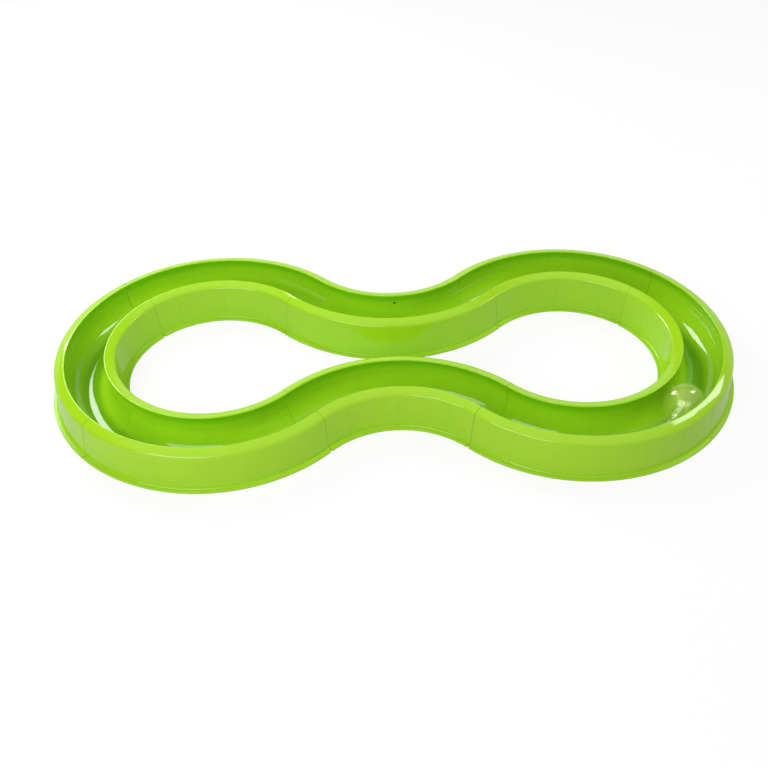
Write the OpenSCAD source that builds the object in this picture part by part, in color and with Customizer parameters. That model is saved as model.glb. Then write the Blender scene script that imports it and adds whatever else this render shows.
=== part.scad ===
// Cat ball track toy. Eight equal curved channel segments clip together into a
// closed loop with two round lobes and a waist, and a clear hollow ball runs
// inside the channel. Millimetres, +Z up, the floor at z = 0, and the origin in
// the middle of the footprint. The long axis runs along X.

/* [Loop] */
// Radius of the channel's middle line in every segment
bend_r = 120; // [108:1:140]
// Gap between the end faces of two segments, on the middle line
seam_gap = 0.3; // [0.2:0.05:0.5]

/* [Channel] */
// Inside width of the channel at its widest
channel_w = 41.2; // [39:0.1:45]
// How far each lip reaches in over the channel
lip_reach = 2.85; // [2.2:0.05:3.6]
// Height of the track from the floor to the top of its rims
track_h = 38.6; // [37:0.1:43]
// Width of the gutter along the channel's bottom
gutter_w = 12; // [10:0.5:14]
// Radius of the gutter's hollow bottom
gutter_r = 17; // [16:0.5:19]
// Depth of the step at the gutter's two edges
gutter_depth = 0.25; // [0.2:0.05:0.4]
// Round on the gutter's two edges
gutter_edge_r = 0.2; // [0.1:0.05:0.2]
// Wall thickness under the middle of the gutter
gutter_t = 1.15; // [1:0.05:1.2]
// Air under the channel's bottom
under_gap = 0.3; // [0.25:0.05:0.6]

/* [Walls and rims] */
// Wall thickness of the moulding
wall = 1.7; // [1.4:0.1:2]
// Radius of the rounded nose of each lip
lip_r = 0.9; // [0.7:0.05:1.1]
// Width of each rolled rim, from its lip to its outer corner
rim_w = 10.05; // [9.4:0.05:11.5]
// Radius of the shallow dome across the rim
rim_dome_r = 30; // [27:1:36]
// Distance from the middle of the lip's nose in to the top of that dome
rim_dome_shift = 5.65; // [4.5:0.05:6.5]
// Radius of the corner where the rim turns down into the skirt
corner_r = 3; // [2.6:0.1:3.6]
// Lean of the skirt out of upright, in degrees
skirt_lean = 6.5; // [5:0.5:8]

/* [Foot] */
// Reach of the foot flange beyond the skirt
flange_reach = 3.5; // [3:0.1:4.2]
// Thickness of the foot flange
flange_t = 1.9; // [1.6:0.1:2.3]
// Round on the top edge of the flange
flange_edge_r = 0.6; // [0.4:0.05:0.8]
// Fillet between the skirt and the flange
foot_fillet_r = 1.4; // [1:0.1:1.6]
// Length that the flange stops short of each end face
notch_l = 0.8; // [0.5:0.1:1.2]
// Depth of that notch, in from the flange's edge
notch_depth = 2.1; // [1.4:0.1:2.2]

/* [Ribs and clips] */
// Thickness of the ribs that join the channel to the skirts
rib_t = 1.3; // [1:0.1:1.6]
// Number of ribs under the longer, outer rim
outer_ribs = 5; // [3:2:5]
// Pitch of the ribs under the outer rim, in degrees
outer_rib_pitch = 15; // [12:0.5:17]
// Number of ribs under the shorter, inner rim
inner_ribs = 3; // [1:2:3]
// Pitch of the ribs under the inner rim, in degrees
inner_rib_pitch = 29; // [22:0.5:34]
// Thickness of the web that closes each end of the moulding
web_t = 2; // [1.6:0.1:2.6]
// Length of the clip tongue beyond the end face
tongue_l = 10; // [8:0.5:12]
// Thickness of the clip tongue
tongue_t = 2; // [1.6:0.1:2.3]
// Height of the clip tongue
tongue_h = 11; // [9:0.5:13]
// Height of the tongue's lower edge above the floor
tongue_z = 8.5; // [7.5:0.5:10]
// Clearance round the tongue in its slot
tongue_clear = 0.3; // [0.2:0.05:0.4]
// Radius of the snap ridge near the tongue's tip
catch_r = 0.7; // [0.5:0.05:0.8]

/* [Ball] */
// Room between the ball and the channel's two walls together
ball_play = 2.7; // [2.2:0.1:3.6]
// Wall thickness of the hollow ball
ball_wall = 1.2; // [1:0.1:1.6]
// Gap between the ball and the round of the channel that it rests on
seat_gap = 0.3; // [0.2:0.05:0.35]
// Depth of the lap joint inside the ball's seam
lap_depth = 1.4; // [1:0.1:2]
// Thickness of the lap ring
lap_t = 0.6; // [0.5:0.05:0.8]
// Gap at the ball's seam and round its lap ring
ball_seam = 0.1; // [0.06:0.02:0.14]
// Where the ball lies round the right lobe, in degrees from +X
ball_turn = -44.2; // [-120:1:120]
// Lean of the ball's seam axis from upright, in degrees
seam_tilt = 56; // [0:1:90]
// Heading of the ball's seam axis, in degrees from +X
seam_heading = 7; // [-180:1:180]

/* [Hidden] */
$fn = 96;

// A figure of two three-quarter rings and two waist bends closes only when
// every segment turns by a quarter.
quarter = 90;
lobe_x = bend_r * sqrt(2);
gap_turn = seam_gap / bend_r * 180 / PI;
sweep = quarter - gap_turn;

// Share of its free side play by which the ball has rolled outward
ball_side_share = 0.5;
// One overrun for every cut
over = 1;
// How far the lip's round nose stands into the two faces it rounds, so that it
// crosses them instead of just touching
nose_lap = 0.003;

// The channel: a round bottom, a short upright stretch and a round top that
// leans in to the lips. Its lower and upper arcs have the same radius.
channel_r = channel_w / 2;
trough_r = channel_r + wall;
gutter_z = under_gap + gutter_t;
gutter_rise = gutter_r - sqrt(pow(gutter_r, 2) - pow(gutter_w / 2, 2));
gutter_edge_z = gutter_z + gutter_rise + gutter_depth;
low_z = gutter_edge_z + sqrt(pow(channel_r, 2) - pow(gutter_w / 2, 2));

// The lip's nose touches the channel's upper arc from outside and the rim's
// dome from inside.
nose_n = channel_r - lip_reach + lip_r;
nose_z = track_h - lip_r;
high_z = nose_z - sqrt(pow(channel_r + lip_r, 2) - pow(nose_n, 2));
dome_n = nose_n - rim_dome_shift;
dome_z = nose_z - sqrt(pow(rim_dome_r - lip_r, 2) - pow(rim_dome_shift, 2));

// The rim's outer corner touches the dome from inside.
corner_n = channel_r - lip_reach + rim_w - corner_r;
corner_z = dome_z + sqrt(pow(rim_dome_r - corner_r, 2) - pow(corner_n - dome_n, 2));
corner_reach = norm([corner_n - dome_n, corner_z - dome_z]);
to_corner = [corner_n - dome_n, corner_z - dome_z] / corner_reach;
nose_reach = norm([nose_n - dome_n, nose_z - dome_z]);
to_nose = [nose_n - dome_n, nose_z - dome_z] / nose_reach;
void_reach = norm([nose_n, nose_z - high_z]);
to_channel = -[nose_n, nose_z - high_z] / void_reach;

// Offset of the skirt's face from the middle line at a height, moved in by inset
function skirt_n(z, inset) =
    corner_n + (corner_r - inset) / cos(skirt_lean) + (corner_z - z) * tan(skirt_lean);
skirt_turn = [cos(skirt_lean), sin(skirt_lean)];
foot_n = skirt_n(0, 0) + flange_reach;

fillet_z = flange_t + foot_fillet_r;
fillet_n = skirt_n(fillet_z, 0) + foot_fillet_r / cos(skirt_lean);

// The gutter's rounded edge lies in the wall, against the round of the channel
edge_n = gutter_w / 2 + gutter_edge_r;
edge_z = low_z - sqrt(pow(channel_r + gutter_edge_r, 2) - pow(edge_n, 2));
to_low = [-edge_n, low_z - edge_z] / (channel_r + gutter_edge_r);

// The clip sits midway between the channel's wall and the skirt.
tongue_n = (trough_r + skirt_n(tongue_z + tongue_h, wall)) / 2;

// Angle that a length takes up at an offset from the middle line
function turn_of(length, n) = length / (bend_r + n) * 180 / PI;

ball_r = (channel_w - ball_play) / 2;
ball_n = ball_side_share * ball_play / 2;
ball_z = low_z - sqrt(pow(ball_play / 2 - seat_gap, 2) - pow(ball_n, 2));
seam_half = ball_seam / 2;
lap_r = sqrt(pow(ball_r - ball_wall, 2) - pow(lap_depth, 2)) - ball_seam;

// Half of the moulding's outline, filled from a base height up, with every
// face moved in by inset
module outline_half(inset, base) {
    dome_in = rim_dome_r - inset;
    translate([corner_n, corner_z])
        circle(r = corner_r - inset);
    polygon([
        [-over, base],
        [skirt_n(base, inset), base],
        [corner_n, corner_z] + (corner_r - inset) * skirt_turn,
        [corner_n, corner_z],
        [dome_n, dome_z + dome_in / 2],
        [-over, dome_z + dome_in / 2]
    ]);
    intersection() {
        translate([dome_n, dome_z])
            circle(r = dome_in);
        polygon([
            [dome_n, dome_z],
            [dome_n, dome_z] + 2 * rim_dome_r * to_corner,
            [-over, dome_z + 2 * rim_dome_r],
            [-over, dome_z]
        ]);
    }
}

// The channel's round stretch, or the outside of its wall
module stadium(r) {
    translate([0, low_z])
        circle(r = r);
    translate([0, high_z])
        circle(r = r);
    translate([-r, low_z])
        square([2 * r, high_z - low_z]);
}

// Outside of the trough, cut flat above the floor
module trough() {
    intersection() {
        stadium(trough_r);
        translate([-2 * trough_r, under_gap])
            square([4 * trough_r, 2 * track_h]);
    }
}

// Space inside the channel, with the gutter's hollow bottom
module channel_space() {
    intersection() {
        stadium(channel_r);
        translate([-channel_w, gutter_edge_z])
            square([2 * channel_w, track_h]);
    }
    intersection() {
        translate([0, gutter_z + gutter_r])
            circle(r = gutter_r);
        translate([-gutter_w / 2, gutter_z - over])
            square([gutter_w, gutter_edge_z - gutter_z + 2 * over]);
    }
    for (side = [-1, 1])
        scale([side, 1]) gutter_edge_cut();
}

// Takes the sharp edge off the gutter's step
module gutter_edge_cut() {
    difference() {
        polygon([
            [edge_n, edge_z],
            [gutter_w / 2 - gutter_edge_r, edge_z],
            [gutter_w / 2 - gutter_edge_r, edge_z + 2 * gutter_edge_r],
            [edge_n, edge_z] + 2 * gutter_edge_r * to_low
        ]);
        translate([edge_n, edge_z])
            circle(r = gutter_edge_r);
    }
}

// Space under the rims and the trough, open to the floor
module underside_half() {
    difference() {
        outline_half(wall, -over);
        trough();
    }
}

// The sharp meeting of rim and channel, where the lip's rounded nose goes
module lip_tip() {
    reach = 4 * lip_r;
    polygon([
        [nose_n, nose_z],
        [nose_n, nose_z] + reach * to_nose,
        [nose_n - reach, nose_z + reach],
        [nose_n, nose_z] + reach * to_channel
    ]);
}

// Foot flange with its rounded top edge and the fillet up to the skirt
module flange_half() {
    inner_n = skirt_n(0, wall);
    translate([inner_n, 0])
        square([foot_n - flange_edge_r - inner_n, flange_t]);
    translate([inner_n, 0])
        square([foot_n - inner_n, flange_t - flange_edge_r]);
    translate([foot_n - flange_edge_r, flange_t - flange_edge_r])
        circle(r = flange_edge_r);
    difference() {
        polygon([
            [skirt_n(0, wall / 2), 0],
            [fillet_n, 0],
            [fillet_n, flange_t],
            [fillet_n, fillet_z],
            [fillet_n, fillet_z] - foot_fillet_r * skirt_turn,
            [skirt_n(fillet_z, wall / 2), fillet_z]
        ]);
        translate([fillet_n, fillet_z])
            circle(r = foot_fillet_r);
    }
}

// One side of the moulding's cross-section
module section_half() {
    difference() {
        union() {
            difference() {
                outline_half(0, 0);
                underside_half();
            }
            flange_half();
        }
        lip_tip();
        channel_space();
    }
    translate([nose_n, nose_z])
        circle(r = lip_r + nose_lap);
}

// Cross-section of the moulding; x is the offset from the middle line
module section() {
    section_half();
    mirror([1, 0]) section_half();
}

// Cross-section of a rib, which runs into the walls that it joins
module rib_section() {
    inset = wall / 2;
    difference() {
        intersection() {
            outline_half(inset, 0);
            translate([trough_r / 2, under_gap])
                square([foot_n, track_h]);
        }
        stadium(trough_r - inset);
    }
}

// Sweeps a cross-section through part of the bend, between two angles
module bend(from, to) {
    rotate([0, 0, from])
        rotate_extrude(angle = to - from)
            translate([bend_r, 0]) children();
}

// Ribs on the outer (side 1) or inner (side -1) half of the moulding
module ribs(side, count, pitch) {
    half = turn_of(rib_t / 2, side * tongue_n);
    for (k = [0:count - 1]) {
        at = (k - (count - 1) / 2) * pitch;
        bend(at - half, at + half)
            scale([side, 1]) rib_section();
    }
}

// Webs that close the hollow at both ends of the moulding
module end_webs() {
    for (side = [-1, 1]) {
        web_turn = turn_of(web_t, side * tongue_n);
        bend(sweep / 2 - web_turn, sweep / 2)
            scale([side, 1]) rib_section();
        bend(-sweep / 2, -sweep / 2 + web_turn)
            scale([side, 1]) rib_section();
    }
}

// Puts a shape at an end face: end is 1 or -1, side picks the outer or inner
// hollow, and the shape's y axis points out of the segment.
module at_end(end, side) {
    rotate([0, 0, end * sweep / 2])
        translate([bend_r + side * tongue_n, 0, tongue_z])
            scale([1, end, 1]) children();
}

// Clip tongue with its snap ridge, which lies just behind the neighbour's web
module tongue() {
    ridge_y = seam_gap + web_t + tongue_clear + catch_r;
    translate([-tongue_t / 2, -web_t, 0])
        cube([tongue_t, web_t + tongue_l, tongue_h]);
    translate([tongue_t / 2, ridge_y, tongue_h / 4])
        cylinder(h = tongue_h / 2, r = catch_r);
}

// Slot that takes the neighbour's tongue
module slot() {
    slot_w = tongue_t + 2 * tongue_clear;
    translate([-slot_w / 2, -web_t - over, -tongue_clear])
        cube([slot_w, web_t + 2 * over, tongue_h + 2 * tongue_clear]);
}

// Gaps that the flange leaves beside each end face
module flange_notches() {
    for (side = [-1, 1])
        for (end = [-1, 1])
            rotate([0, 0, end * sweep / 2])
                translate([bend_r + side * (foot_n - notch_depth), 0, -over])
                    scale([side, end, 1])
                        translate([0, -notch_l, 0])
                            cube([notch_depth + over, notch_l + over, flange_t + 2 * over]);
}

// One channel segment, turned about its bend axis, middle towards +X
module segment() {
    difference() {
        union() {
            bend(-sweep / 2, sweep / 2) section();
            ribs(1, outer_ribs, outer_rib_pitch);
            ribs(-1, inner_ribs, inner_rib_pitch);
            end_webs();
            at_end(1, 1) tongue();
            at_end(-1, -1) tongue();
        }
        at_end(1, -1) slot();
        at_end(-1, 1) slot();
        flange_notches();
    }
}

// Puts a segment's bend axis in place and turns its middle to a heading
module placed_segment(axis_x, axis_y, heading) {
    color("yellowgreen")
        translate([axis_x, axis_y, 0])
            rotate([0, 0, heading]) segment();
}

module track_left_end() placed_segment(-lobe_x, 0, 2 * quarter);
module track_left_back() placed_segment(-lobe_x, 0, quarter);
module track_left_front() placed_segment(-lobe_x, 0, -quarter);
module track_waist_back() placed_segment(0, lobe_x, -quarter);
module track_waist_front() placed_segment(0, -lobe_x, quarter);
module track_right_back() placed_segment(lobe_x, 0, quarter);
module track_right_front() placed_segment(lobe_x, 0, -quarter);
module track_right_end() placed_segment(lobe_x, 0, 0);

// Half of a hollow ball, from its seam up
module half_shell() {
    rotate_extrude()
        intersection() {
            difference() {
                circle(r = ball_r);
                circle(r = ball_r - ball_wall);
            }
            translate([0, seam_half])
                square([ball_r + over, ball_r + over]);
        }
}

// Ring inside the seam that centres the two halves on each other
module lap_ring() {
    rotate_extrude() {
        translate([lap_r - lap_t, -lap_depth])
            square([lap_t, 2 * lap_depth]);
        translate([lap_r - lap_t, seam_half])
            square([lap_t + ball_seam + ball_wall / 2, lap_depth - seam_half]);
    }
}

// Puts the ball where it lies in the channel, seam axis along its own z
module at_ball() {
    translate([lobe_x, 0, 0])
        rotate([0, 0, ball_turn])
            translate([bend_r + ball_n, 0, ball_z])
                rotate([0, 0, -ball_turn])
                    rotate([0, seam_tilt, seam_heading]) children();
}

module ball_shell_upper() {
    color("honeydew", 0.4)
        at_ball() {
            half_shell();
            lap_ring();
        }
}

module ball_shell_lower() {
    color("honeydew", 0.4)
        at_ball()
            mirror([0, 0, 1]) half_shell();
}

track_left_end();
track_left_back();
track_left_front();
track_waist_back();
track_waist_front();
track_right_back();
track_right_front();
track_right_end();
ball_shell_upper();
ball_shell_lower();
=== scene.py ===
import math
from types import SimpleNamespace

import bmesh
import bpy
from mathutils import Matrix, Vector


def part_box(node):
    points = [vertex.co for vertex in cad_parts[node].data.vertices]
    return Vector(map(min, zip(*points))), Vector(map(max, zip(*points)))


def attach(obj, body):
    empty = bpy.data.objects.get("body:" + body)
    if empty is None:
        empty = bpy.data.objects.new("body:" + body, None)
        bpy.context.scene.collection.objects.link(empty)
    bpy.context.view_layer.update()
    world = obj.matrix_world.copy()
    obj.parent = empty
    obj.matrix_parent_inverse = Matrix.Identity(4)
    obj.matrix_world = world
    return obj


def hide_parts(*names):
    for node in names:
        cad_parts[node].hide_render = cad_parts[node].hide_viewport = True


MM = 0.001

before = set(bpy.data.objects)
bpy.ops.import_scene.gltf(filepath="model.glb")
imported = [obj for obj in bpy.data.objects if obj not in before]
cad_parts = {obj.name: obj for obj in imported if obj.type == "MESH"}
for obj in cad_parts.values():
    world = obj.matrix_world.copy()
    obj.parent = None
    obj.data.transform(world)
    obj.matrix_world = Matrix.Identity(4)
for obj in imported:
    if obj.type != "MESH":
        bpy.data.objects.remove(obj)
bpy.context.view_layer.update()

# The track: eight equal segments, each a quarter turn about the centre of its bend
BEND_R = 120 * MM
LOBE_X = BEND_R * math.sqrt(2)
SEGMENTS = {
    # node: (centre of the bend, heading of the segment's middle in degrees)
    "track_left_end": ((-LOBE_X, 0), 180),
    "track_left_back": ((-LOBE_X, 0), 90),
    "track_left_front": ((-LOBE_X, 0), -90),
    "track_waist_back": ((0, LOBE_X), -90),
    "track_waist_front": ((0, -LOBE_X), 90),
    "track_right_back": ((LOBE_X, 0), 90),
    "track_right_front": ((LOBE_X, 0), -90),
    "track_right_end": ((LOBE_X, 0), 0),
}


def add_object(name, data):
    """A new object in the scene."""
    thing = bpy.data.objects.new(name, data)
    bpy.context.scene.collection.objects.link(thing)
    return thing


# ---------------------------------------------------------------- camera
CAMERA_PLACE_MM = (-29.263, -722.675, 620.808)
CAMERA_BACK = (-0.01963, -0.74878, 0.66252)  # from what it looks at to the camera
CAMERA_PAN = -1.5  # degrees from the X axis to the camera's right, seen from above
CAMERA_ROLL = -0.67  # degrees that it is rolled about its own line of sight
FOCAL_PX = 981.73
FRAME_PX = 768
SENSOR_MM = 36
CLIP = (0.01, 100)  # metres


def make_camera():
    """The photograph's camera, found from the track's outline."""
    back = Vector(CAMERA_BACK).normalized()
    pan = math.radians(CAMERA_PAN)
    roll = math.radians(CAMERA_ROLL)
    right = Vector((math.cos(pan), math.sin(pan), 0))
    right = (right - back * right.dot(back)).normalized()
    up = back.cross(right)
    right, up = (
        right * math.cos(roll) + up * math.sin(roll),
        up * math.cos(roll) - right * math.sin(roll),
    )
    data = bpy.data.cameras.new("photo_camera")
    data.sensor_width = SENSOR_MM
    data.lens = SENSOR_MM * FOCAL_PX / FRAME_PX
    data.clip_start, data.clip_end = CLIP
    camera = add_object("photo_camera", data)
    turn = Matrix((right, up, back)).transposed()
    camera.matrix_world = Matrix.Translation(Vector(CAMERA_PLACE_MM) * MM) @ turn.to_4x4()
    bpy.context.scene.camera = camera


# ---------------------------------------------------------------- shader helpers
class Nodes:
    """A node tree that is built by calling its methods, which return the result's socket."""

    def __init__(self, tree):
        self.tree = tree
        tree.nodes.clear()

    def feed(self, socket, value):
        if isinstance(value, bpy.types.NodeSocket):
            self.tree.links.new(value, socket)
        else:
            socket.default_value = value

    def add(self, kind, inputs=None, **settings):
        """Adds a node and returns the node itself."""
        node = self.tree.nodes.new(kind)
        for key, value in settings.items():
            setattr(node, key, value)
        for key, value in (inputs or {}).items():
            self.feed(node.inputs[key], value)
        return node

    def math(self, operation, *values, clamp=False):
        inputs = dict(enumerate(values))
        return self.add("ShaderNodeMath", inputs, operation=operation, use_clamp=clamp).outputs[0]

    def times(self, first, second):
        return self.math("MULTIPLY", first, second)

    def plus(self, base, value, share, clamp=False):
        """The base with the value's share added."""
        return self.math("MULTIPLY_ADD", value, share, base, clamp=clamp)

    def above(self, value, limit):
        return self.math("GREATER_THAN", value, limit)

    def below(self, value, limit):
        return self.math("LESS_THAN", value, limit)

    def vector(self, operation, first, second):
        node = self.add("ShaderNodeVectorMath", {0: first, 1: second}, operation=operation)
        number = operation in ("DISTANCE", "DOT_PRODUCT")
        return node.outputs["Value" if number else "Vector"]

    def spread(self, value, low, high, to_low=0.0, to_high=1.0, smooth=False):
        """Maps low..high to to_low..to_high, and stays at the ends outside."""
        inputs = dict(enumerate((value, low, high, to_low, to_high)))
        kind = "SMOOTHSTEP" if smooth else "LINEAR"
        return self.add("ShaderNodeMapRange", inputs, interpolation_type=kind).outputs[0]

    def rise(self, value, low, high):
        """Rises smoothly from 0 to 1 between low and high."""
        return self.spread(value, low, high, smooth=True)

    def fade(self, value, low, high, level=1.0):
        """Falls smoothly from the level to 0 between low and high."""
        return self.spread(value, low, high, level, 0.0, smooth=True)

    def noise(self, vector, scale, detail, rough=0.5):
        inputs = {"Vector": vector, "Scale": scale, "Detail": detail, "Roughness": rough}
        return self.add("ShaderNodeTexNoise", inputs).outputs[0]

    def bump(self, height):
        inputs = {"Strength": 1.0, "Distance": 1.0, "Height": height}
        return self.add("ShaderNodeBump", inputs).outputs[0]

    def mix(self, share, first, second):
        inputs = {"Factor": share, "A": first, "B": second}
        return self.add("ShaderNodeMix", inputs).outputs[0]

    def tint(self, share, first, second, blend="MIX"):
        inputs = {"Factor": share, "A": first, "B": second}
        node = self.add("ShaderNodeMix", inputs, data_type="RGBA", blend_type=blend)
        return node.outputs["Result"]

    def shader_mix(self, share, first, second):
        return self.add("ShaderNodeMixShader", {0: share, 1: first, 2: second}).outputs[0]

    def rays(self, first, second):
        """1 for a ray of either kind, and 0 for all others."""
        path = self.add("ShaderNodeLightPath").outputs
        return self.math("MAXIMUM", path[first], path[second])


def new_material(name):
    material = bpy.data.materials.new(name)
    material.use_nodes = True
    return material, Nodes(material.node_tree)


# ---------------------------------------------------------------- lime plastic
# A noise is given as scale, detail and, where it isn't 0.5, roughness, and CUT is the part
# of its values that is spread. A fade or rise is given as its two ends: distances from the
# bend's middle line where the name ends in ASIDE, and else heights above the floor.
LIME = (0.38, 0.695, 0.014, 1)
LIME_DEEP = (0.34, 0.667, 0.011, 1)
LIME_IOR = 1.5
WIDE_CUT = (0.3, 0.7)
TONE_NOISE = (14.0, 2.0)
TONE_SHARE = 0.35
CLOUD_NOISE = (9.0, 3.0)
LIME_ROUGH = (0.055, 0.085)

# Painted shade: the bottom of the gutter is darkened, where less light reaches it
GUTTER_SHADE_TINT = (0.45, 0.62, 0.3, 1)
GUTTER_SHADE_SHARE = 0.85
GUTTER_SHADE_ASIDE = (4 * MM, 13 * MM)
GUTTER_SHADE_TOP = 12 * MM

# Painted shade: the channel's upper wall is darkened just under the lip, where the lip shades it
UNDER_LIP_SHADE_TINT = (0.66, 0.93, 0.6, 1)
UNDER_LIP_SHADE_FROM = (25 * MM, 34 * MM)
UNDER_LIP_SHADE_TO = (36.9 * MM, 37.7 * MM)
UNDER_LIP_SHADE_ASIDE = 22 * MM

# Small marks of the moulding's gates, for the nodes that show one: degrees from the
# segment's middle, offset from the middle line, height, radius, darkness
GATE_MARKS = {
    "track_waist_back": (1.75, -20.6 * MM, 27.6 * MM, 1.5 * MM, 1.0),
    "track_right_front": (-11.5, 29.3 * MM, 20.5 * MM, 0.6 * MM, 0.35),
}
GATE_DARK = (0.01, 0.09, 0.001, 1)
GATE_CORE = 0.7  # share of the radius that is evenly dark

# Broad waves of a cooled moulding, and the mould's own fine finish: noise, height
RELIEF = (
    ((22.0, 1.0), 0.05 * MM),
    ((420.0, 2.0), 0.0025 * MM),
    ((2600.0, 1.0), 0.0006 * MM),
)

# Sink marks: shallow grooves in the skirts and walls in front of the hidden ribs
RIB_STEP_OUTER = 15  # degrees between the ribs behind the outer skirt
RIB_STEP_INNER = 29
RIB_REACH = 38  # degrees from the segment's middle within which ribs stand
SINK_W = 1.3 * MM
SINK_DEPTH = 0.03 * MM
SINK_TONE = 0.5
SINK_TO = (28 * MM, 33 * MM)
SINK_ASIDE = (12 * MM, 15 * MM)

# Fine scratches along the gutter, where balls have run
SCRATCH_NOISE = (90.0, 3.0, 0.7)
SCRATCH_STRETCH = 30.0  # times as fine across the gutter as along it
SCRATCH_CUT = (0.5, 0.68)
SCRATCH_ASIDE = (5 * MM, 15 * MM)
SCRATCH_DEPTH = 0.0012 * MM
SCRATCH_ROUGH = 0.06

# The foot flange has a satin finish
FOOT_TOP = 2.1 * MM
FOOT_INSIDE = 31 * MM
FOOT_ROUGH = 0.4


def segment_space(n, centre, heading):
    """Where a point lies on its segment, as sockets.

    place is in the shared frame, and turned is the same with the centre of the bend at the
    origin and the segment's middle on the X axis. angle is measured from the middle, offset
    and aside from the bend's middle line.
    """
    place = n.add("ShaderNodeTexCoord").outputs["Object"]
    turned = n.add(
        "ShaderNodeVectorRotate",
        {
            "Vector": n.vector("SUBTRACT", place, (centre[0], centre[1], 0)),
            "Axis": (0, 0, 1),
            "Angle": -math.radians(heading),
        },
        rotation_type="AXIS_ANGLE",
    ).outputs[0]
    x, y, z = n.add("ShaderNodeSeparateXYZ", {0: turned}).outputs
    radius = n.math("SQRT", n.math("ADD", n.times(x, x), n.times(y, y)))
    offset = n.math("SUBTRACT", radius, BEND_R)
    return SimpleNamespace(
        place=place,
        turned=turned,
        z=z,
        radius=radius,
        angle=n.math("ARCTAN2", y, x),
        offset=offset,
        aside=n.math("ABSOLUTE", offset),
    )


def sink_marks(n, at):
    """1 in the middle of a sink mark, 0 away from them."""

    def grooves(step):
        from_rib = n.math("PINGPONG", at.angle, math.radians(step / 2))
        share = n.math("DIVIDE", n.times(from_rib, at.radius), SINK_W)
        return n.math("EXPONENT", n.times(n.times(share, share), -1.0))

    marks = n.mix(n.above(at.offset, 0.0), grooves(RIB_STEP_INNER), grooves(RIB_STEP_OUTER))
    in_ribs = n.below(n.math("ABSOLUTE", at.angle), math.radians(RIB_REACH))
    low_beside = n.times(n.fade(at.z, *SINK_TO), n.rise(at.aside, *SINK_ASIDE))
    return n.times(n.times(marks, in_ribs), low_beside)


def gutter_scratches(n, at):
    """1 in a scratch along the gutter, 0 beside them and away from the gutter."""
    along = n.times(at.angle, BEND_R)
    across = n.times(at.offset, SCRATCH_STRETCH)
    run = n.add("ShaderNodeCombineXYZ", {0: along, 1: across, 2: at.z}).outputs[0]
    scratches = n.spread(n.noise(run, *SCRATCH_NOISE), *SCRATCH_CUT)
    return n.times(scratches, n.fade(at.aside, *SCRATCH_ASIDE))


def lime_colour(n, node, at, marks):
    """Cloudy lime, deeper in some places at random and over the ribs, with painted shade in the
    gutter's bottom and under the lip, and the segment's gate mark if it has one.
    """
    tone = n.spread(n.noise(at.place, *TONE_NOISE), *WIDE_CUT, 0.0, TONE_SHARE)
    tone = n.plus(tone, marks, SINK_TONE, clamp=True)
    colour = n.tint(tone, LIME, LIME_DEEP)

    # painted shade in the bottom of the gutter
    gutter = n.fade(at.aside, *GUTTER_SHADE_ASIDE, GUTTER_SHADE_SHARE)
    gutter = n.times(gutter, n.below(at.z, GUTTER_SHADE_TOP))
    colour = n.tint(gutter, colour, GUTTER_SHADE_TINT, "MULTIPLY")

    # painted shade under the lip
    under_lip_shade = n.times(n.rise(at.z, *UNDER_LIP_SHADE_FROM), n.below(at.aside, UNDER_LIP_SHADE_ASIDE))
    under_lip_shade = n.times(under_lip_shade, n.fade(at.z, *UNDER_LIP_SHADE_TO))
    colour = n.tint(under_lip_shade, colour, UNDER_LIP_SHADE_TINT, "MULTIPLY")

    if node in GATE_MARKS:
        turn, offset, height, radius, darkness = GATE_MARKS[node]
        turn = math.radians(turn)
        reach = BEND_R + offset
        spot = (reach * math.cos(turn), reach * math.sin(turn), height)
        away = n.vector("DISTANCE", at.turned, spot)
        colour = n.tint(n.fade(away, GATE_CORE * radius, radius, darkness), colour, GATE_DARK)
    return colour


def lime_plastic(node, centre, heading):
    """Glossy moulded lime plastic of one segment, with the faint marks over its ribs."""
    material, n = new_material("lime_" + node)
    at = segment_space(n, centre, heading)
    marks = sink_marks(n, at)
    scratched = gutter_scratches(n, at)

    height = 0.0
    for noise, depth in RELIEF:
        height = n.plus(height, n.noise(at.place, *noise), depth)
    height = n.plus(height, marks, -SINK_DEPTH)
    height = n.plus(height, scratched, -SCRATCH_DEPTH)

    rough = n.spread(n.noise(at.place, *CLOUD_NOISE), *WIDE_CUT, *LIME_ROUGH)
    rough = n.plus(rough, scratched, SCRATCH_ROUGH)
    foot = n.times(n.below(at.z, FOOT_TOP), n.above(at.aside, FOOT_INSIDE))
    rough = n.plus(rough, foot, FOOT_ROUGH)

    shader = n.add(
        "ShaderNodeBsdfPrincipled",
        {
            "Base Color": lime_colour(n, node, at, marks),
            "Roughness": rough,
            "IOR": LIME_IOR,
            "Normal": n.bump(height),
        },
    )
    n.add("ShaderNodeOutputMaterial", {"Surface": shader.outputs[0]})
    return material


# ---------------------------------------------------------------- clear plastic
CLEAR = (0.97, 1.0, 0.9, 1)
CLEAR_IOR = 1.02  # low, so that the two thin walls hardly bend what lies behind them
FINE_NOISE = (1500.0, 2.0)
FINE_DEPTH = 0.001 * MM
HAZE_NOISE = (130.0, 3.0, 0.6)
HAZE_CUT = (0.45, 0.75)
HAZE_ROUGH = (0.03, 0.09)

# A thin milky layer of scuffs, thicker in the welded seam
SCUFF = (0.86, 1.0, 0.16, 1)
SCUFF_NOISE = (90.0, 3.0, 0.6)
SCUFF_CUT = (0.35, 0.7)
SCUFF_SHARE = (0.055, 0.12)
WELD_W = 0.5 * MM
WELD_CORE = 0.25  # share of the seam's half width that is evenly milky
WELD_SHARE = 0.5

# Its gloss: least where it faces the eye, most along its outline
GLOSS = (1, 1, 0.8, 1)
GLOSS_ROUGH = 0.05
GLOSS_BLEND = 0.5
GLOSS_LEAST = 0.045
GLOSS_GAIN = 0.75
GLOSS_POWER = 5.0

PASS_THROUGH = (0.9, 0.92, 0.9, 1)  # what shadow and diffuse rays keep on their way through

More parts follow.
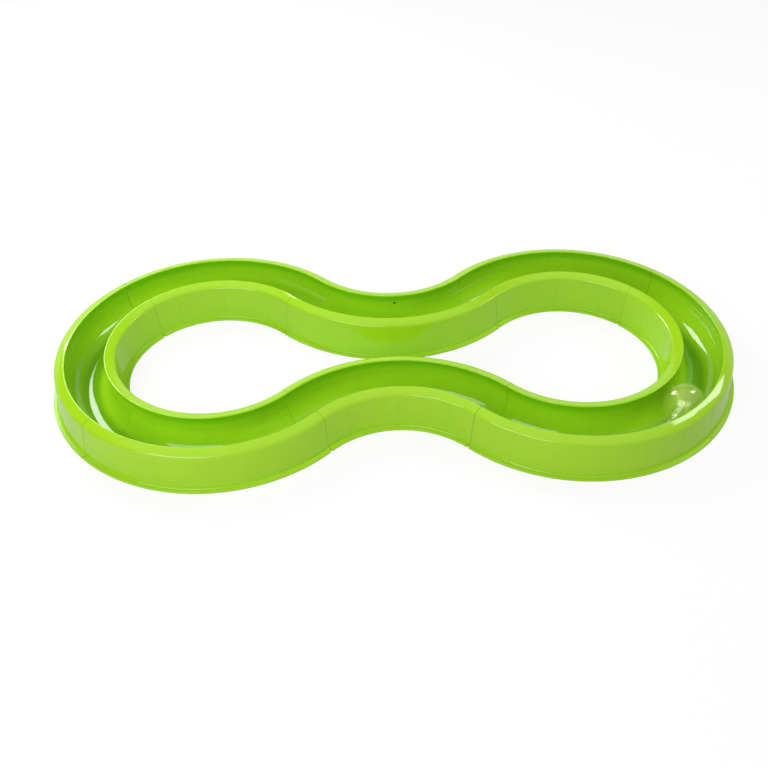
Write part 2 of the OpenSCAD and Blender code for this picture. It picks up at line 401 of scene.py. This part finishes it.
# How the ball lies, in degrees: how far the seam's axis leans from upright, and where to
SEAM_TILT = 56
SEAM_HEADING = 7


def seam_turn():
    """Turns a shape that stands on the ball's seam plane to the way the ball lies."""
    heading = Matrix.Rotation(math.radians(SEAM_HEADING), 3, "Z")
    return heading @ Matrix.Rotation(math.radians(SEAM_TILT), 3, "Y")


def clear_plastic(centre):
    """Clear hard plastic with a rolling ball's haze and fine scratches, and its welded seam."""
    material, n = new_material("clear_plastic")
    place = n.add("ShaderNodeTexCoord").outputs["Object"]
    haze = n.spread(n.noise(place, *HAZE_NOISE), *HAZE_CUT, *HAZE_ROUGH)
    scratches = n.noise(place, *FINE_NOISE)
    clear = n.add(
        "ShaderNodeBsdfPrincipled",
        {
            "Base Color": CLEAR,
            "Roughness": haze,
            "IOR": CLEAR_IOR,
            "Transmission Weight": 1.0,
            "Normal": n.bump(n.times(scratches, FINE_DEPTH)),
        },
    ).outputs[0]

    axis = seam_turn() @ Vector((0, 0, 1))
    from_seam = n.vector("DOT_PRODUCT", n.vector("SUBTRACT", place, centre), axis)
    from_seam = n.math("ABSOLUTE", from_seam)
    weld = n.fade(from_seam, WELD_CORE * WELD_W, WELD_W, WELD_SHARE)
    cloudy = n.spread(n.noise(place, *SCUFF_NOISE), *SCUFF_CUT, *SCUFF_SHARE)
    cloudy = n.math("MAXIMUM", cloudy, weld)
    scuffs = n.add("ShaderNodeBsdfDiffuse", {"Color": SCUFF}).outputs[0]

    facing = n.add("ShaderNodeLayerWeight", {"Blend": GLOSS_BLEND}).outputs["Facing"]
    sheen = n.plus(GLOSS_LEAST, n.math("POWER", facing, GLOSS_POWER), GLOSS_GAIN)
    gloss = n.add("ShaderNodeBsdfGlossy", {"Color": GLOSS, "Roughness": GLOSS_ROUGH}).outputs[0]

    seen = n.shader_mix(sheen, n.shader_mix(cloudy, clear, scuffs), gloss)
    soft_rays = n.rays("Is Shadow Ray", "Is Diffuse Ray")
    pass_through = n.add("ShaderNodeBsdfTransparent", {"Color": PASS_THROUGH}).outputs[0]
    surface = n.shader_mix(soft_rays, seen, pass_through)
    n.add("ShaderNodeOutputMaterial", {"Surface": surface})
    return material


# ---------------------------------------------------------------- light
WHITE = (1, 1, 1, 1)

# Brightness of the room's walls, and what is added to it towards +X and towards +Y
ROOM_BAND = 0.22
ROOM_BAND_EAST = 0.14
ROOM_BAND_NORTH = -0.22

# Brightness of the ceiling and of the white sweep low behind, and where they begin or end,
# as the Z of the direction looked in and, for BEHIND, as its Y
ROOM_TOP = 0.78
ROOM_TOP_FROM = (0.78, 0.90)
ROOM_SWEEP = 0.75
ROOM_SWEEP_TO = (0.35, 0.5)
ROOM_SWEEP_BEHIND = (0.0, 0.4)

# Lamp: place, point that it faces, width and height, all in metres, and power in watts
LAMPS = {
    "softbox_right": ((0.833, 0.302, 0.914), (0.033, -0.028, 0.364), (0.30, 0.19), 1.4),
    "softbox_right_low": ((0.930, 0.391, 0.720), (0.130, 0.061, 0.170), (0.21, 0.27), 1.4),
    "softbox_left": ((-0.577, 0.70, 0.598), (-0.147, 0, -0.032), (0.42, 0.53), 6.7),
    "softbox_front": ((-0.62, -0.94, 0.95), (0, 0, 0), (1.0, 0.9), 10.2),
}


def make_lamps():
    for name, (place, aim, size, power) in LAMPS.items():
        data = bpy.data.lights.new(name, "AREA")
        data.shape = "RECTANGLE"
        data.size, data.size_y = size
        data.energy = power
        lamp = add_object(name, data)
        lamp.location = place
        lamp.rotation_mode = "QUATERNION"
        lamp.rotation_quaternion = (Vector(place) - Vector(aim)).to_track_quat("Z", "Y")
        lamp.visible_camera = False


def make_room():
    """A pale ceiling over darker walls, with the white sweep low behind.

    It is white where the camera looks past the floor, straight or through the ball.
    """
    world = bpy.data.worlds.new("studio")
    bpy.context.scene.world = world
    world.use_nodes = True
    n = Nodes(world.node_tree)
    direction = n.add("ShaderNodeTexCoord").outputs["Generated"]
    x, y, z = n.add("ShaderNodeSeparateXYZ", {0: direction}).outputs
    strength = n.plus(ROOM_BAND, x, ROOM_BAND_EAST)
    strength = n.plus(strength, y, ROOM_BAND_NORTH)
    sweep = n.times(n.fade(z, *ROOM_SWEEP_TO), n.rise(y, *ROOM_SWEEP_BEHIND))
    strength = n.mix(sweep, strength, ROOM_SWEEP)
    strength = n.mix(n.rise(z, *ROOM_TOP_FROM), strength, ROOM_TOP)
    room = n.add("ShaderNodeBackground", {"Color": WHITE, "Strength": strength}).outputs[0]
    white = n.add("ShaderNodeBackground", {"Color": WHITE, "Strength": 1.0}).outputs[0]
    seen = n.rays("Is Camera Ray", "Is Transmission Ray")
    n.add("ShaderNodeOutputWorld", {"Surface": n.shader_mix(seen, room, white)})


# ---------------------------------------------------------------- floor
FLOOR_HALF = 6.0  # metres from its middle to each side
FLOOR_DROP = 0.3 * MM  # how far it lies below the toy's foot
FLOOR_PAPER = (0.76, 0.76, 0.76, 1)

# The floor is paper in the room's light, mixed with a glow of its own: how bright the glow
# is and its share, first for the camera's rays and then for the plastic's reflections
FLOOR_GLOW = 1.06
FLOOR_GLOW_SHARE = 0.80
FLOOR_GLOSS = 0.5
FLOOR_GLOSS_SHARE = 0.5


def make_floor():
    """White sweep that the camera sees as paper white, with the toy's soft shadow."""
    signs = ((-1, -1), (1, -1), (1, 1), (-1, 1))
    corners = [(x * FLOOR_HALF, y * FLOOR_HALF, -FLOOR_DROP) for x, y in signs]
    mesh = bpy.data.meshes.new("floor")
    mesh.from_pydata(corners, [], [(0, 1, 2, 3)])
    floor = add_object("floor", mesh)
    material, n = new_material("floor_white")
    paper = n.add("ShaderNodeBsdfDiffuse", {"Color": FLOOR_PAPER}).outputs[0]
    seen = n.rays("Is Camera Ray", "Is Transmission Ray")
    mirrored = n.add("ShaderNodeLightPath").outputs["Is Glossy Ray"]
    level = n.spread(seen, 0.0, 1.0, FLOOR_GLOSS, FLOOR_GLOW)
    glow = n.add("ShaderNodeEmission", {"Color": WHITE, "Strength": level}).outputs[0]
    share = n.math(
        "MAXIMUM", n.times(seen, FLOOR_GLOW_SHARE), n.times(mirrored, FLOOR_GLOSS_SHARE)
    )
    n.add("ShaderNodeOutputMaterial", {"Surface": n.shader_mix(share, paper, glow)})
    mesh.materials.append(material)


# ---------------------------------------------------------------- ball
# Two moulded shells with a hairline between them; the upper one has the lap ring
BALL_R = 19.25 * MM
BALL_WALL = 1.2 * MM
BALL_SEAM = 0.1 * MM
BALL_EDGE_R = 0.2 * MM
LAP_DEPTH = 1.4 * MM  # how far the ring reaches to each side of the seam
LAP_T = 0.6 * MM
LAP_EDGE_R = LAP_T / 4

# Facets: round the ball, from its edge to its pole, and in the small rounded corners
SHELL_TURNS = 160
SHELL_RINGS = 56
EDGE_STEPS = 5
LAP_STEPS = 4
POLE_R = 1e-9  # a point of the section this near the axis is a pole


def arc(radius, start, end, steps, centre=(0.0, 0.0)):
    """Points of an arc in the plane of the section, angles in degrees from the way outwards."""
    turns = [math.radians(start + (end - start) * k / steps) for k in range(steps + 1)]
    return [(centre[0] + radius * math.cos(a), centre[1] + radius * math.sin(a)) for a in turns]


def shell_profile(with_lap):
    """Closed section of a half ball above its seam, from the outer pole round to the inner one."""
    inner_r = BALL_R - BALL_WALL
    seam = BALL_SEAM / 2
    edge = BALL_EDGE_R
    edge_turn = math.degrees(math.asin((seam + edge) / (BALL_R - edge)))
    edge_at = ((BALL_R - edge) * math.cos(math.radians(edge_turn)), seam + edge)
    points = arc(BALL_R, 90, edge_turn, SHELL_RINGS)
    points += arc(edge, edge_turn, -90, EDGE_STEPS, edge_at)[1:]
    if not with_lap:
        inner_turn = math.degrees(math.asin(seam / inner_r))
        return points + arc(inner_r, inner_turn, 90, SHELL_RINGS)
    lap_r = math.sqrt(inner_r**2 - LAP_DEPTH**2) - BALL_SEAM
    top_turn = math.degrees(math.asin(LAP_DEPTH / inner_r))
    soft = LAP_EDGE_R
    points += [(lap_r, seam)]
    for turn, corner in (
        (0, (lap_r - soft, soft - LAP_DEPTH)),
        (-90, (lap_r - LAP_T + soft, soft - LAP_DEPTH)),
        (180, (lap_r - LAP_T + soft, LAP_DEPTH - soft)),
    ):
        points += arc(soft, turn, turn - 90, LAP_STEPS, corner)
    return points + arc(inner_r, top_turn, 90, SHELL_RINGS)


def make_shell(name, node, centre, with_lap, material):
    """Turns the section about the ball's seam axis and stands it in for the CAD shell."""
    mesh = bmesh.new()
    turns = [2 * math.pi * k / SHELL_TURNS for k in range(SHELL_TURNS)]
    rings = []
    for r, z in shell_profile(with_lap):
        if r < POLE_R:
            rings.append([mesh.verts.new((0, 0, z))])
        else:
            rings.append([mesh.verts.new((r * math.cos(a), r * math.sin(a), z)) for a in turns])
    for first, second in zip(rings, rings[1:]):
        for k in range(SHELL_TURNS):
            j = (k + 1) % SHELL_TURNS
            corners = []
            for ring, at in ((first, k), (second, k), (second, j), (first, j)):
                vert = ring[at % len(ring)]
                if vert not in corners:
                    corners.append(vert)
            mesh.faces.new(corners)
    if not with_lap:
        bmesh.ops.scale(mesh, vec=(1, 1, -1), verts=mesh.verts)
    bmesh.ops.recalc_face_normals(mesh, faces=mesh.faces)
    mesh.transform(Matrix.Translation(centre) @ seam_turn().to_4x4())
    data = bpy.data.meshes.new(name)
    mesh.to_mesh(data)
    mesh.free()
    data.shade_smooth()
    data.materials.append(material)
    shell = add_object(name, data)
    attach(shell, "ball")
    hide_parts(node)


def make_ball():
    """Both shells, about the middle of the CAD shells' common box."""
    boxes = [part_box("ball_shell_upper"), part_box("ball_shell_lower")]
    low = Vector([min(box[0][k] for box in boxes) for k in range(3)])
    high = Vector([max(box[1][k] for box in boxes) for k in range(3)])
    centre = (low + high) / 2
    clear = clear_plastic(centre)
    make_shell("ball_upper_moulding", "ball_shell_upper", centre, True, clear)
    make_shell("ball_lower_moulding", "ball_shell_lower", centre, False, clear)


# ---------------------------------------------------------------- the scene
bpy.context.scene.view_settings.view_transform = "Standard"
make_camera()
make_lamps()
make_room()
make_floor()
for node, (centre, heading) in SEGMENTS.items():
    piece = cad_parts[node]
    material = lime_plastic(node, centre, heading)
    for slot in piece.material_slots:
        slot.material = material
make_ball()
